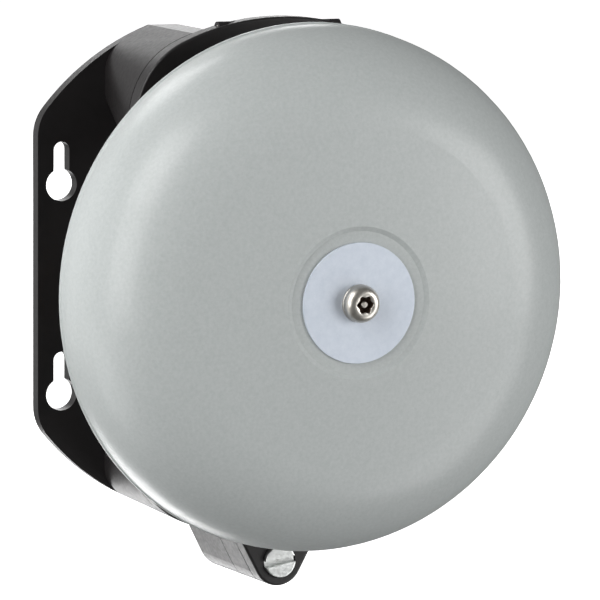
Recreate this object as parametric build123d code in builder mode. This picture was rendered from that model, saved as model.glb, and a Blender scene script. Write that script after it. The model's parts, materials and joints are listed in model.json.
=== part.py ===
"""Surface-mounted electromechanical alarm bell with a 150 mm gong.

Frame: +Z up, +X to the right seen from the front, the front faces -Y.
The origin lies on the wall face, on the gong's axis.  Depths are measured
forwards from the wall, so a plane at depth d is the plane y = -d.
All sizes are in millimetres.
"""
from build123d import *
import os
from math import acos, asin, atan2, cos, hypot, sin, sqrt

os.makedirs("parts", exist_ok=True)

# ---------------------------------------------------------------- driving dimensions
# Depths from the wall
flange_thickness = 4.1
back_wall = 2.5
lug_split_depth = 22.0
seam_depth = 33.8
plate_rear = 34.2
plate_front = 39.5
gong_rim_depth = 58.2
gong_height = 36.0

# Housing outline
body_radius = 75.2
flange_half_width = 61.1
flange_corner = 13.0
shell_wall = 2.6
top_flat = 70.7
recess_half_width = 16.5
recess_floor = 64.0

# Fixing lug at the bottom: sizes at the wall, and how much they lose for each millimetre forwards
lug_screw_z = -82.3
lug_tip_radius = 8.8
lug_tip_draft = 0.037
lug_root_half_width = 18.4
lug_root_draft = 0.02
lug_root_z = -65.0
lug_clearance = 0.8

# Keyholes in the side flanges
keyhole_x = 53.85
keyhole_bulb_z = (25.4, -35.8)
keyhole_bulb_radius = 4.7
keyhole_slot_width = 4.8
keyhole_slot_rise = 10.1

# Hinge at the top, behind the front plate's face
hinge_depth = 36.0
hinge_z = 71.8
hinge_pin_radius = 1.25
ear_inner = 16.2
ear_outer = 18.9
ear_radius = 2.2
ear_root_depth = 30.5
ear_bottom = 69.75
ear_slot_gap = 0.3
ear_slot_bottom = 67.4

# Gong
gong_radius = 75.0
rim_lip = 0.4
rim_lip_height = 1.1
gong_sheet = 1.8
crown_radius = 390.0
shoulder_radius = 29.0
recess_radius = 20.0
recess_slope = 1.3
recess_face_depth = 92.9
label_radius = 16.85
label_thickness = 0.6
gong_hole_radius = 3.4

# Striker mechanism, in front of the plate and inside the gong
coil_z = -24.0
coil_depth = 56.0
pole_x = -25.5
pole_radius = 6.5
pole_thickness = 2.0
core_radius = 4.0
bobbin_radius = 12.5
bobbin_cheek = 1.5
bobbin_barrel = 1.3
winding_inset = 0.9
yoke_left = -35.0
yoke_leg_x = 14.5
yoke_leg_height = 8.0
yoke_sheet = 2.5
yoke_half_width = 10.0
yoke_arm_width = 12.0
cheek_thickness = 2.0
cheek_below = 7.0
cheek_above = 4.0
coil_screw_radius = 2.0
coil_screw_grip = 10.0
coil_screw_head = 2.8
small_nut_radius = 4.0
armature_x = -29.9
armature_thickness = 2.5
armature_half_depth = 7.0
armature_top = -11.5
pivot_x = -29.0
pivot_z = -47.0
pivot_pin_radius = 1.5
pivot_pin_start = 39.7
barrel_radius = 3.2
barrel_start = 44.3
barrel_end = 65.2
hammer_x = 20.0
hammer_z = -63.0
hammer_radius = 4.5
hammer_half_length = 4.5
hammer_edge = 0.8
rod_depth = 59.0
rod_radius = 1.2
rod_seat_depth = 1.5

# Interrupter contacts
contact_z = -8.0
contact_gap = 0.3
contact_tip_radius = 1.5
contact_tip_length = 0.6
leaf_thickness = 0.4
leaf_half_width = 3.5
button_radius = 1.6
button_height = 0.7
rivet_radius = 0.9
rivet_head_radius = 1.7
rivet_head_height = 0.8
rivet_zs = (-29.0, -19.0)
insulator_thickness = 1.8
insulator_z = (-15.0, 3.0)
bracket_left = -43.0
bracket_right = -36.0
bracket_sheet = 1.8
bracket_foot_sheet = 1.5
bracket_foot_z = (-14.5, 2.0)
bracket_leg_z = (-14.0, -2.0)
bracket_leg_height = 5.0
contact_screw_radius = 2.0
contact_knob = (-53.0, -50.0)
contact_knob_radius = 3.6
lock_nut_height = 2.2
suppressor_x = (22.0, 36.0)
suppressor_z = (-9.0, 9.0)
suppressor_height = 9.0
suppressor_corner = 1.5

# Inner frame and its terminals
plate_skin = 2.5
plate_edge = 0.7
frame_front = 36.9
frame_floor = 2.0
frame_rear = 22.3
frame_half_width = 27.5
frame_top = 54.0
frame_bottom = -58.0
frame_wall = 2.0
frame_corner = 6.0
frame_web_half_width = 10.0
frame_screw_x = 18.5
frame_screw_z = (48.0, -50.0)
terminal_z = 37.0
terminal_depth = 20.0
terminal_half_width = 18.0
terminal_half_height = 7.0
terminal_xs = (-11.0, 0.0, 11.0)
terminal_notch_xs = (-16.5, -5.5, 5.5, 16.5)
terminal_notch = (1.4, 3.0)
terminal_mouth_radius = 1.6
terminal_mouth_length = 5.0
terminal_fixing_x = 5.5
terminal_screw_radius = 2.5
terminal_screw_sink = 1.5
terminal_screw_length = 4.4
wire_depth = 28.0
lead_hole_x = 16.0
lead_hole_z = 20.0
lead_hole_radius = 2.6
lead_lip = 1.5
lead_radius = 0.9

# Fixings
lug_thread_radius = 2.5
lug_tip_pin_radius = 1.9
lug_head_radius = 4.7
lug_head_front = 41.0
lug_head_height = 3.0
lug_head_clearance = 0.35
lug_tip_start = 17.8
lug_shaft_start = 22.4
lug_slot = 1.4
slot_angle = 9.5
insert_radius = 3.5
insert_start = 8.0
gong_thread_radius = 3.0
gong_thread_length = 20.0
gong_head_radius = 5.25
gong_head_height = 3.3
gong_head_land = 0.7
gong_head_flat = 3.3
gong_head_bulge = (4.6, 2.3)
lobe_circle_radius = 2.2
lobe_radius = 0.55
socket_radius = 2.0
socket_pin_radius = 0.95
socket_depth = 2.2
washer_thickness = 0.9
washer_radius = 5.6
rubber_washer = 1.5
rubber_washer_radius = 9.0
post_radius = 6.0
post_stud_radius = 4.0
post_base_radius = 9.5
post_base_height = 2.0
post_nut_radius = 7.5
post_nut_start = 31.2
post_washer_radius = 8.5
post_washer_thickness = 0.8

# Cable entry in the back wall
entry_z = -30.0
entry_bore_radius = 4.5

# Small fixings shared by several pieces
small_thread_radius = 1.3
small_thread_reach = 2.5
small_head_radius = 2.2
small_head_height = 0.9
small_head_sink = 1.1
bracket_head_height = 1.4
yoke_screws = ((-31.5, -20.0), (-8.0, coil_z))
bracket_screws = ((-38.6, -12.0), (-38.6, -3.5))
frame_thread_radius = 1.25
frame_head_radius = 2.8
frame_head_height = 2.0
cross_recess = (3.2, 0.8, 1.2)
boss_radius = 4.0
boss_height = 4.0
terminal_head_radius = 2.3
terminal_head_height = 1.6

# Seal and grommets
seal_start = 32.3
seal_step = 1.3
seal_thickness = 1.8
seal_gap_half_width = 17.6
entry_lip_radius = 9.5
entry_neck_radius = 7.0
entry_lip = 1.1
entry_inner_lip = 2.0
lead_neck_radius = 4.4
lead_lip_radius = 6.0

# Fits: a running gap, a seat for a fixed piece, and a loose hole
running_gap = 0.06
seat_gap = 0.02
loose_gap = 0.1
right_angle = asin(1.0)


# ---------------------------------------------------------------- helpers
def at_depth(depth):
    """Plane parallel to the wall; its sketches show the bell as seen from the front."""
    return Plane.XZ.offset(depth)


def across(x):
    """Plane square to X at x; sketch coordinates are world (Y, Z), so a depth d is entered as -d."""
    return Plane.YZ.offset(x)


# Plane for turned profiles about the gong's axis: (radius, depth)
turned = Plane(origin=(0, 0, 0), x_dir=(1, 0, 0), z_dir=(0, 0, -1))


def save(part, name):
    """Label one finished piece and write it as its own STEP file."""
    part.label = name
    export_step(part, f"parts/{name}.step")


def disc(depth, thickness, radius, bore=0.0, x=0.0, z=0.0):
    """Round piece facing the front, with an optional bore."""
    with BuildPart() as piece:
        with BuildSketch(at_depth(depth)):
            with Locations((x, z)):
                Circle(radius)
                if bore:
                    Circle(bore, mode=Mode.SUBTRACT)
        extrude(amount=thickness)
    return piece.part


def block(x_range, z_range, depth_range):
    """Rectangular block given by its ranges across, up and forwards."""
    with BuildPart() as piece:
        with BuildSketch(at_depth(depth_range[0])):
            with Locations(((x_range[0] + x_range[1]) / 2, (z_range[0] + z_range[1]) / 2)):
                Rectangle(x_range[1] - x_range[0], z_range[1] - z_range[0])
        extrude(amount=depth_range[1] - depth_range[0])
    return piece.part


def rod_across(x_range, radius, depth, z):
    """Round bar lying along X."""
    with BuildPart() as piece:
        with BuildSketch(across(x_range[0])):
            with Locations((-depth, z)):
                Circle(radius)
        extrude(amount=x_range[1] - x_range[0])
    return piece.part


# The housing is narrower at the wall than at the seam.
# Each section: half width, corner radius, waist half width, waist half height, bulge half height
wall_section = (40.4, 9.5, 34.0, 38.0, 50.0)
seam_section = (44.9, 24.0, 43.4, 30.0, 38.0)
waist_blend = 8.0


def housing_outline(depth, section, inset=0.0):
    """Circle cut to the section's width, drawn in to a waist beside the keyholes."""
    half_width, corner, waist, waist_z, bulge_z = section
    width = half_width - inset
    waist = waist - inset
    upper_right = [(width, body_radius), (width, bulge_z), (waist, waist_z)]
    right = upper_right + [(x, -z) for x, z in reversed(upper_right)]
    left = [(-x, -z) for x, z in right]
    with BuildSketch(at_depth(depth)) as outline:
        Circle(body_radius - inset)
        Polygon(*right, *left, align=None, mode=Mode.INTERSECT)
        fillet(outline.vertices().filter_by(lambda v: abs(v.Y) > bulge_z + 1), corner - inset)
        fillet(outline.vertices().filter_by(lambda v: abs(v.Y) < bulge_z + 0.1), waist_blend)
    return outline.sketch


def cavity_outline(depth, section, inset):
    """Inside of the housing: clear of the flat top and of the hinge recess."""
    with BuildSketch(at_depth(depth)) as outline:
        add(at_depth(depth).to_local_coords(housing_outline(depth, section, inset)))
        with Locations((0, top_flat - inset)):
            Rectangle(2 * body_radius, body_radius, align=(Align.CENTER, Align.MIN), mode=Mode.SUBTRACT)
        with Locations((0, recess_floor - inset)):
            Rectangle(2 * (ear_outer + ear_slot_gap + inset), body_radius, align=(Align.CENTER, Align.MIN),
                      mode=Mode.SUBTRACT)
    return outline.sketch


def lug_outline(depth, clearance=0.0):
    """Tapered lug: a round tip about the closing screw, widening up to its root."""
    tip_radius = lug_tip_radius - lug_tip_draft * depth + clearance
    root_half_width = lug_root_half_width - lug_root_draft * depth + clearance
    root_rise = lug_root_z - lug_screw_z
    root_reach = hypot(root_half_width, root_rise)
    flank = atan2(root_rise, root_half_width) - acos(tip_radius / root_reach)
    tangent_x = tip_radius * cos(flank)
    tangent_z = lug_screw_z + tip_radius * sin(flank)
    with BuildSketch(at_depth(depth)) as outline:
        with Locations((0, lug_screw_z)):
            Circle(tip_radius)
        Polygon((root_half_width, lug_root_z), (-root_half_width, lug_root_z),
                (-tangent_x, tangent_z), (tangent_x, tangent_z), align=None)
    return outline.sketch


def lug(start, end, clearance=0.0):
    """Length of the lug between two depths."""
    with BuildPart() as piece:
        loft([lug_outline(start, clearance), lug_outline(end, clearance)])
    return piece.part


# ---------------------------------------------------------------- back box
with BuildPart() as back_box:
    with BuildSketch(at_depth(0)) as flange:
        Circle(body_radius)
        Rectangle(2 * flange_half_width, 2 * body_radius, mode=Mode.INTERSECT)
        fillet(flange.vertices(), flange_corner)
    extrude(amount=flange_thickness)
    loft([housing_outline(flange_thickness, wall_section), housing_outline(seam_depth, seam_section)])
    add(lug(0, lug_split_depth))
    loft([cavity_outline(back_wall, wall_section, shell_wall),
          cavity_outline(seam_depth, seam_section, shell_wall)], mode=Mode.SUBTRACT)
    # Flat top with the open recess behind the hinge
    with BuildSketch(at_depth(0)):
        with Locations((0, top_flat)):
            Rectangle(2 * body_radius, body_radius, align=(Align.CENTER, Align.MIN))
        with Locations((0, recess_floor)):
            Rectangle(2 * recess_half_width, body_radius, align=(Align.CENTER, Align.MIN))
    extrude(amount=seam_depth, mode=Mode.SUBTRACT)
    # Hinge ears reach forwards from the recess's side walls
    with BuildSketch(across(ear_inner)) as ear:
        with Locations((-hinge_depth, hinge_z)):
            Circle(ear_radius)
        Polygon((-hinge_depth, hinge_z + ear_radius), (-ear_root_depth, top_flat),
                (-ear_root_depth, ear_bottom), (-seam_depth, ear_bottom),
                (-hinge_depth, hinge_z - ear_radius), align=None)
    ear_solid = extrude(amount=ear_outer - ear_inner)
    mirror(ear_solid, about=Plane.YZ)
    with BuildSketch(across(0)):
        with Locations((-hinge_depth, hinge_z)):
            Circle(hinge_pin_radius + seat_gap)
    extrude(amount=ear_outer + 1, both=True, mode=Mode.SUBTRACT)
    # Rim: step for the seal, and a gap for the inner frame's lug
    seal_seat = cavity_outline(seal_start, seam_section, seal_step)
    extrude(seal_seat, amount=seam_depth - seal_start, mode=Mode.SUBTRACT)
    add(lug(lug_split_depth, seam_depth, lug_clearance), mode=Mode.SUBTRACT)
    # Seat of the threaded insert
    with BuildSketch(at_depth(insert_start)):
        with Locations((0, lug_screw_z)):
            Circle(insert_radius + seat_gap)
    extrude(amount=lug_split_depth - insert_start, mode=Mode.SUBTRACT)
    # Keyholes, slots upwards
    with BuildSketch(at_depth(0)):
        for side in (-keyhole_x, keyhole_x):
            for bulb_z in keyhole_bulb_z:
                with Locations((side, bulb_z)):
                    Circle(keyhole_bulb_radius)
                with Locations((side, bulb_z + keyhole_slot_rise / 2)):
                    SlotCenterToCenter(keyhole_slot_rise, keyhole_slot_width, rotation=90)
    extrude(amount=flange_thickness, mode=Mode.SUBTRACT)
    # Cable entry, with a sunk seat so that the grommet stays behind the wall face
    with BuildSketch(at_depth(0)):
        with Locations((0, entry_z)):
            Circle(entry_neck_radius + seat_gap)
    extrude(amount=back_wall, mode=Mode.SUBTRACT)
    with BuildSketch(at_depth(0)):
        with Locations((0, entry_z)):
            Circle(entry_lip_radius + seat_gap)
    extrude(amount=entry_lip + seat_gap, mode=Mode.SUBTRACT)
save(back_box.part, "back_box")

# Rubber seal in the step of the rim, open at the lug
with BuildPart() as box_seal:
    seal_outside = cavity_outline(seal_start, seam_section, seal_step + loose_gap)
    seal_inside = cavity_outline(seal_start, seam_section, shell_wall + 2 * loose_gap)
    extrude(seal_outside, amount=seal_thickness)
    extrude(seal_inside, amount=seal_thickness, mode=Mode.SUBTRACT)
    with BuildSketch(at_depth(seal_start)):
        with Locations((0, -body_radius)):
            Rectangle(2 * seal_gap_half_width, 8 * shell_wall)
    extrude(amount=seal_thickness, mode=Mode.SUBTRACT)
save(box_seal.part, "box_seal")

# Grommet of the cable entry
with BuildPart() as entry_grommet:
    with BuildSketch(at_depth(0)):
        with Locations((0, entry_z)):
            Circle(entry_lip_radius)
    extrude(amount=entry_lip)
    with BuildSketch(at_depth(entry_lip)):
        with Locations((0, entry_z)):
            Circle(entry_neck_radius)
    extrude(amount=back_wall - entry_lip)
    with BuildSketch(at_depth(back_wall)):
        with Locations((0, entry_z)):
            Circle(entry_lip_radius)
    extrude(amount=entry_inner_lip)
    with BuildSketch(at_depth(0)):
        with Locations((0, entry_z)):
            Circle(entry_bore_radius)
    extrude(amount=back_wall + entry_inner_lip, mode=Mode.SUBTRACT)
save(entry_grommet.part, "entry_grommet")

with BuildPart() as lug_insert:
    add(disc(insert_start, lug_split_depth - insert_start - loose_gap, insert_radius, lug_thread_radius,
             z=lug_screw_z))
save(lug_insert.part, "lug_insert")

with BuildPart() as hinge_pin:
    add(rod_across((-ear_outer, ear_outer), hinge_pin_radius, hinge_depth, hinge_z))
    chamfer(hinge_pin.edges().filter_by(GeomType.CIRCLE), 0.3)
save(hinge_pin.part, "hinge_pin")

# ---------------------------------------------------------------- front plate and inner frame
plate_thickness = plate_front - plate_rear
skin_rear = plate_front - plate_skin

with BuildPart() as front_plate:
    extrude(housing_outline(plate_rear, seam_section), amount=plate_thickness)
    add(lug(plate_rear, plate_front))
    fillet(front_plate.faces().sort_by(Axis.Y)[0].outer_wire().edges(), plate_edge)
    # Knuckle of the hinge, and slots for the ears, closed by the plate's face
    knuckle_half_width = ear_inner - ear_slot_gap
    add(rod_across((-knuckle_half_width, knuckle_half_width), ear_radius, hinge_depth, hinge_z))
    ear_slot = block((knuckle_half_width, ear_outer + ear_slot_gap), (ear_slot_bottom, body_radius + 1),
                     (plate_rear - 1, hinge_depth + ear_radius + ear_slot_gap))
    add(ear_slot, mode=Mode.SUBTRACT)
    add(ear_slot.mirror(Plane.YZ), mode=Mode.SUBTRACT)
    # Hollow rear, left solid round the hinge and the lug
    plate_hollow = cavity_outline(plate_rear, seam_section, shell_wall)
    extrude(plate_hollow, amount=skin_rear - plate_rear, mode=Mode.SUBTRACT)
    # Bosses for the screws that hold the inner frame
    with BuildSketch(at_depth(plate_front)):
        for boss_z in frame_screw_z:
            with Locations((-frame_screw_x, boss_z), (frame_screw_x, boss_z)):
                Circle(boss_radius)
    extrude(amount=boss_height)
    with BuildSketch(at_depth(skin_rear)):
        for boss_z in frame_screw_z:
            with Locations((-frame_screw_x, boss_z), (frame_screw_x, boss_z)):
                Circle(frame_thread_radius + seat_gap)
    extrude(amount=plate_skin + boss_height - 1, mode=Mode.SUBTRACT)
    # Bore of the knuckle between the hinge ears
    with BuildSketch(across(0)):
        with Locations((-hinge_depth, hinge_z)):
            Circle(hinge_pin_radius + running_gap)
    extrude(amount=ear_inner, both=True, mode=Mode.SUBTRACT)
    # Holes: gong post, leads, closing screw with its sunk head, mechanism screws
    with BuildSketch(at_depth(plate_rear)):
        Circle(post_stud_radius + seat_gap)
        with Locations((lead_hole_x, lead_hole_z)):
            Circle(lead_neck_radius + seat_gap)
        with Locations((0, lug_screw_z)):
            Circle(lug_thread_radius + running_gap)
        with Locations(*yoke_screws, *bracket_screws):
            Circle(small_thread_radius + seat_gap)
    extrude(amount=plate_thickness, mode=Mode.SUBTRACT)
    with BuildSketch(at_depth(lug_head_front - lug_head_height)):
        with Locations((0, lug_screw_z)):
            Circle(lug_head_radius + lug_head_clearance)
    extrude(amount=lug_head_height, mode=Mode.SUBTRACT)
save(front_plate.part, "front_plate")

with BuildPart() as inner_frame:
    frame_height = frame_top - frame_bottom
    frame_mid = (frame_top + frame_bottom) / 2
    with BuildSketch(at_depth(frame_rear)):
        with Locations((0, frame_mid)):
            RectangleRounded(2 * frame_half_width, frame_height, frame_corner)
    extrude(amount=frame_front - frame_rear)
    with BuildSketch(at_depth(frame_rear)):
        with Locations((0, frame_mid)):
            RectangleRounded(2 * (frame_half_width - frame_wall), frame_height - 2 * frame_wall,
                             frame_corner - frame_wall)
    extrude(amount=frame_front - frame_rear - frame_floor, mode=Mode.SUBTRACT)
    add(lug(frame_rear, seam_depth))
    add(block((-frame_web_half_width, frame_web_half_width), (lug_root_z - 1, frame_bottom + 1),
              (frame_rear, seam_depth)))
    with BuildSketch(at_depth(frame_rear)):
        with Locations((0, lug_screw_z)):
            Circle(lug_thread_radius + 0.5)
        Circle(post_stud_radius + loose_gap)
        with Locations((lead_hole_x, lead_hole_z)):
            Circle(lead_lip_radius + 0.5)
        for screw_z in frame_screw_z:
            with Locations((-frame_screw_x, screw_z), (frame_screw_x, screw_z)):
                Circle(frame_thread_radius + loose_gap)
        with Locations((-terminal_fixing_x, terminal_z), (terminal_fixing_x, terminal_z)):
            Circle(small_thread_radius + seat_gap)
        with Locations(*yoke_screws, *bracket_screws):
            Circle(small_thread_radius + 1.0)
    extrude(amount=frame_front - frame_rear, mode=Mode.SUBTRACT)
save(inner_frame.part, "inner_frame")
frame_floor_depth = frame_front - frame_floor

# Screws from the frame's floor into the plate's bosses
with BuildPart() as frame_screws:
    shank = plate_front + boss_height - 2 - frame_floor_depth
    head_start = frame_floor_depth - frame_head_height
    for screw_z in frame_screw_z:
        for screw_x in (-frame_screw_x, frame_screw_x):
            add(disc(head_start, frame_head_height, frame_head_radius, x=screw_x, z=screw_z))
            add(disc(frame_floor_depth, shank, frame_thread_radius, x=screw_x, z=screw_z))
    cross_length, cross_width, cross_depth = cross_recess
    with BuildSketch(at_depth(head_start)):
        for screw_z in frame_screw_z:
            with Locations((-frame_screw_x, screw_z), (frame_screw_x, screw_z)):
                Rectangle(cross_length, cross_width)
                Rectangle(cross_width, cross_length)
    extrude(amount=cross_depth, mode=Mode.SUBTRACT)
save(frame_screws.part, "frame_screws")

# ---------------------------------------------------------------- terminals and leads
with BuildPart() as terminal_block:
    with BuildSketch(at_depth(terminal_depth)) as footprint:
        with Locations((0, terminal_z)):
            Rectangle(2 * terminal_half_width, 2 * terminal_half_height)
        fillet(footprint.vertices(), 1)
    extrude(amount=frame_floor_depth - terminal_depth)
    # Notches between the poles
    with BuildSketch(at_depth(terminal_depth)):
        with Locations(*[(x, terminal_z) for x in terminal_notch_xs]):
            Rectangle(terminal_notch[0], 2 * terminal_half_height)
    extrude(amount=terminal_notch[1], mode=Mode.SUBTRACT)
    with BuildSketch(at_depth(terminal_depth)):
        with Locations(*[(x, terminal_z) for x in terminal_xs]):
            Circle(terminal_screw_radius + seat_gap)
    extrude(amount=terminal_screw_sink + terminal_screw_length + loose_gap, mode=Mode.SUBTRACT)
    with BuildSketch(at_depth(terminal_depth)):
        with Locations((-terminal_fixing_x, terminal_z), (terminal_fixing_x, terminal_z)):
            Circle(small_thread_radius + loose_gap)
    extrude(amount=frame_floor_depth - terminal_depth, mode=Mode.SUBTRACT)
    # Wire mouths, below for the supply and above for the link
    with BuildSketch(Plane.XY.offset(terminal_z - terminal_half_height)):
        with Locations(*[(x, -wire_depth) for x in terminal_xs]):
            Circle(terminal_mouth_radius)
    extrude(amount=terminal_mouth_length, mode=Mode.SUBTRACT)
save(terminal_block.part, "terminal_block")

with BuildPart() as terminal_screws:
    screw_face = terminal_depth + terminal_screw_sink
    for x in terminal_xs:
        add(disc(screw_face, terminal_screw_length, terminal_screw_radius, x=x, z=terminal_z))
    with BuildSketch(at_depth(screw_face)):
        with Locations(*[(x, terminal_z) for x in terminal_xs]):
            Rectangle(cross_width, 2 * terminal_screw_radius)
    extrude(amount=cross_depth, mode=Mode.SUBTRACT)
save(terminal_screws.part, "terminal_screws")

with BuildPart() as terminal_fixings:
    head_face = terminal_depth - terminal_head_height
    shank = frame_front - terminal_depth - loose_gap
    for x in (-terminal_fixing_x, terminal_fixing_x):
        add(disc(head_face, terminal_head_height, terminal_head_radius, x=x, z=terminal_z))
        add(disc(terminal_depth, shank, small_thread_radius, x=x, z=terminal_z))
save(terminal_fixings.part, "terminal_fixings")

with BuildPart() as lead_grommet:
    add(disc(skin_rear - lead_lip, lead_lip, lead_lip_radius, x=lead_hole_x, z=lead_hole_z))
    add(disc(skin_rear, plate_skin, lead_neck_radius, x=lead_hole_x, z=lead_hole_z))
    add(disc(plate_front, lead_lip, lead_lip_radius, x=lead_hole_x, z=lead_hole_z))
    with BuildSketch(at_depth(skin_rear - lead_lip)):
        with Locations((lead_hole_x, lead_hole_z)):
            Circle(lead_hole_radius)
    extrude(amount=plate_skin + 2 * lead_lip, mode=Mode.SUBTRACT)
save(lead_grommet.part, "lead_grommet")


def lead(points, bend):
    """Round insulated lead through points given as (x, depth, z)."""
    with BuildPart() as piece:
        with BuildLine() as path:
            FilletPolyline(*[(x, -depth, z) for x, depth, z in points], radius=bend)
        with BuildSketch(Plane(origin=path.line @ 0, z_dir=path.line % 0)):
            Circle(lead_radius)
        sweep()
    return piece.part


with BuildPart() as coil_lead:
    add(lead([(11, wire_depth, 33), (11, wire_depth, 24), (14.8, 32, lead_hole_z), (14.8, 48, lead_hole_z),
              (13, 56, 14), (9, 56, 0), (9, 56, coil_z + bobbin_radius - 0.8)], 3))
save(coil_lead.part, "coil_lead")

with BuildPart() as contact_lead:
    add(lead([(0, wire_depth, 33), (0, wire_depth, 24), (10, 29, 17), (17.2, 32, lead_hole_z),
              (17.2, 44, lead_hole_z), (12, 45, 26), (-20, 46, 20), (-38.5, 48, 6), (-38.5, 48, 0),
              (-38.5, 42.9, 0)], 2.2))
save(contact_lead.part, "contact_lead")

# ---------------------------------------------------------------- gong post
post_top = recess_face_depth - gong_sheet - rubber_washer
with BuildPart() as gong_post:
    add(disc(plate_front, post_base_height, post_base_radius))
    add(disc(plate_front + post_base_height, post_top - plate_front - post_base_height, post_radius))
    add(disc(post_nut_start - 1, plate_front - post_nut_start + 1, post_stud_radius))
    with BuildSketch(at_depth(post_top)):
        Circle(gong_thread_radius + seat_gap)
    extrude(amount=-gong_thread_length, mode=Mode.SUBTRACT)
save(gong_post.part, "gong_post")

with BuildPart() as post_nut:
    with BuildSketch(at_depth(post_nut_start)):
        RegularPolygon(post_nut_radius, 6)
        Circle(post_stud_radius + seat_gap, mode=Mode.SUBTRACT)
    extrude(amount=frame_floor_depth - post_washer_thickness - post_nut_start)
save(post_nut.part, "post_nut")

with BuildPart() as post_washer:
    add(disc(frame_floor_depth - post_washer_thickness, post_washer_thickness, post_washer_radius,
             post_stud_radius + loose_gap))
save(post_washer.part, "post_washer")

# ---------------------------------------------------------------- magnet
yoke_front = plate_front + yoke_sheet
cheek_depth = barrel_end + 0.3
cheek_front = cheek_depth + cheek_thickness
arm_x = (yoke_left, yoke_left + yoke_arm_width)
coil_z_range = (coil_z - yoke_half_width, coil_z + yoke_half_width)
with BuildPart() as yoke:
    # Base on the plate, wider at the left where it carries the pivot
    add(block((yoke_left, yoke_leg_x + yoke_sheet), coil_z_range, (plate_front, yoke_front)))
    add(block(arm_x, (pivot_z - cheek_below, coil_z), (plate_front, yoke_front)))
    add(block((yoke_leg_x, yoke_leg_x + yoke_sheet), coil_z_range,
              (yoke_front, coil_depth + yoke_leg_height)))
    # Pivot cheeks joined by a web below the armature
    add(block(arm_x, (pivot_z - cheek_below, pivot_z - cheek_below + cheek_thickness),
              (yoke_front, cheek_front)))
    add(block(arm_x, (pivot_z - cheek_below, pivot_z + cheek_above), (cheek_depth, cheek_front)))
    with BuildSketch(at_depth(plate_front)):
        with Locations((pivot_x, pivot_z)):
            Circle(pivot_pin_radius + seat_gap)
    extrude(amount=cheek_front - plate_front, mode=Mode.SUBTRACT)
    with BuildSketch(at_depth(plate_front)):
        with Locations(*yoke_screws):
            Circle(small_thread_radius + loose_gap)
    extrude(amount=yoke_sheet, mode=Mode.SUBTRACT)
    with BuildSketch(at_depth(yoke_front - small_head_sink)):
        with Locations(*yoke_screws):
            Circle(small_head_radius + loose_gap)
    extrude(amount=small_head_sink, mode=Mode.SUBTRACT)
    with BuildSketch(across(yoke_leg_x)):
        with Locations((-coil_depth, coil_z)):
            Circle(coil_screw_radius + loose_gap)
    extrude(amount=yoke_sheet, mode=Mode.SUBTRACT)
save(yoke.part, "yoke")

with BuildPart() as yoke_fixings:
    seat = yoke_front - 1.0
    thread_tip = skin_rear - small_thread_reach
    for x, z in yoke_screws:
        add(disc(seat, small_head_height, small_head_radius, x=x, z=z))
        add(disc(thread_tip, seat - thread_tip, small_thread_radius, x=x, z=z))
save(yoke_fixings.part, "yoke_fixings")

core_left = pole_x + pole_thickness
with BuildPart() as coil_core:
    add(rod_across((pole_x, core_left), pole_radius, coil_depth, coil_z))
    add(rod_across((core_left, yoke_leg_x), core_radius, coil_depth, coil_z))
    with BuildSketch(across(yoke_leg_x)):
        with Locations((-coil_depth, coil_z)):
            Circle(coil_screw_radius + seat_gap)
    extrude(amount=-coil_screw_grip - 2, mode=Mode.SUBTRACT)
save(coil_core.part, "coil_core")

bobbin_left = core_left + loose_gap
bobbin_right = yoke_leg_x - loose_gap
bobbin_bore = core_radius + loose_gap
with BuildPart() as coil_bobbin:
    add(rod_across((bobbin_left, bobbin_left + bobbin_cheek), bobbin_radius, coil_depth, coil_z))
    add(rod_across((bobbin_left, bobbin_right), bobbin_bore + bobbin_barrel, coil_depth, coil_z))
    add(rod_across((bobbin_right - bobbin_cheek, bobbin_right), bobbin_radius, coil_depth, coil_z))
    with BuildSketch(across(bobbin_left)):
        with Locations((-coil_depth, coil_z)):
            Circle(bobbin_bore)
    extrude(amount=bobbin_right - bobbin_left, mode=Mode.SUBTRACT)
save(coil_bobbin.part, "coil_bobbin")

winding_start = bobbin_left + bobbin_cheek + running_gap
with BuildPart() as coil_winding:
    with BuildSketch(across(winding_start)):
        with Locations((-coil_depth, coil_z)):
            Circle(bobbin_radius - winding_inset)
            Circle(bobbin_bore + bobbin_barrel + running_gap, mode=Mode.SUBTRACT)
    extrude(amount=bobbin_right - bobbin_cheek - running_gap - winding_start)
save(coil_winding.part, "coil_winding")

with BuildPart() as coil_screw:
    add(rod_across((yoke_leg_x - coil_screw_grip, yoke_leg_x + yoke_sheet), coil_screw_radius,
                   coil_depth, coil_z))
    with BuildSketch(across(yoke_leg_x + yoke_sheet)):
        with Locations((-coil_depth, coil_z)):
            RegularPolygon(small_nut_radius, 6)
    extrude(amount=coil_screw_head)
save(coil_screw.part, "coil_screw")

# ---------------------------------------------------------------- armature and striker
with BuildPart() as pivot_pin:
    add(disc(pivot_pin_start, cheek_front + 1 - pivot_pin_start, pivot_pin_radius, x=pivot_x, z=pivot_z))
save(pivot_pin.part, "pivot_pin")

reach = hypot(hammer_x - pivot_x, hammer_z - pivot_z)
rod_direction = Vector((hammer_x - pivot_x) / reach, 0, (hammer_z - pivot_z) / reach)
rod_first = barrel_radius + 0.3
rod_start = Vector(pivot_x, -rod_depth, pivot_z) + rod_direction * rod_first
rod_plane = Plane(origin=rod_start, z_dir=rod_direction)
rod_length = reach - rod_first - hammer_radius + rod_seat_depth

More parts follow.
